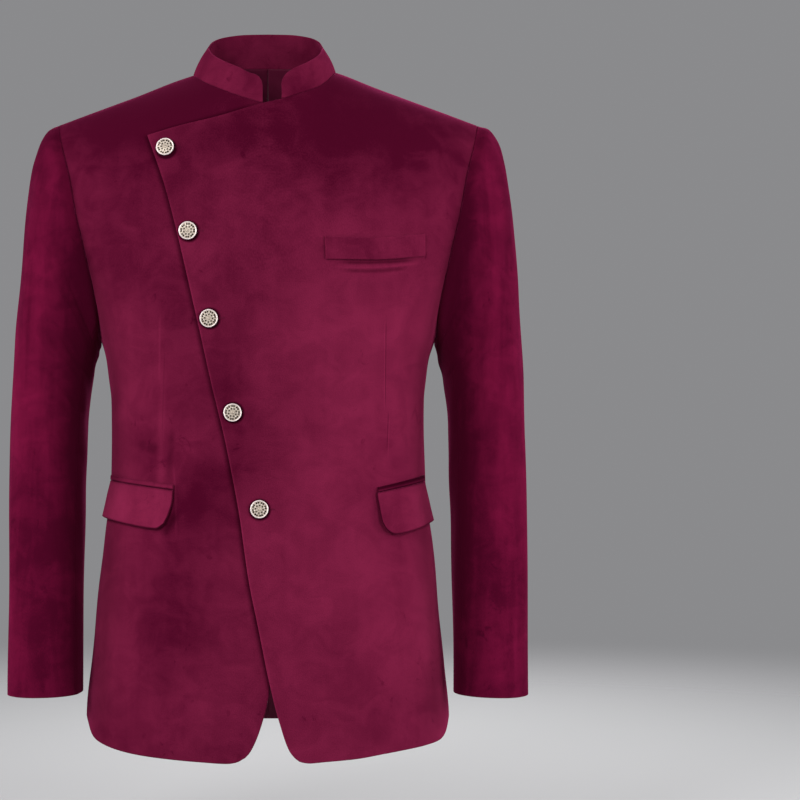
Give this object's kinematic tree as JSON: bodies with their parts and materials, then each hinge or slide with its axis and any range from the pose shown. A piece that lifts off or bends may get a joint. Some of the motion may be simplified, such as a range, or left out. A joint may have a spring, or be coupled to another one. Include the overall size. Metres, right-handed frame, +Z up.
{
  "type": "bandhgala jacket",
  "caption": "Hip-length stand-collar jacket with a slanting side-buttoned front, hollow and filled out as if worn.",
  "frame": {"origin": "midway between the two neck points, where the shoulder seams meet the collar", "axes": "+X towards the wearer's left, -Y towards the front, +Z up"},
  "size_m": [0.5646, 0.2596, 0.7914],
  "materials": {
    "velvet": "mottled maroon velvet",
    "button_metal": "bright rose-silver plating"
  },
  "bodies": {
    "root": {"front_left": "velvet", "front_right": "velvet", "back_left": "velvet", "back_right": "velvet", "collar": "velvet", "topsleeve_left": "velvet", "topsleeve_right": "velvet", "undersleeve_left": "velvet", "undersleeve_right": "velvet", "breast_welt": "velvet", "flap_left": "velvet", "flap_right": "velvet", "jet_left": "velvet", "jet_right": "velvet", "button_1": "button_metal", "button_2": "button_metal", "button_3": "button_metal", "button_4": "button_metal", "button_5": "button_metal"}
  },
  "joints": []
}
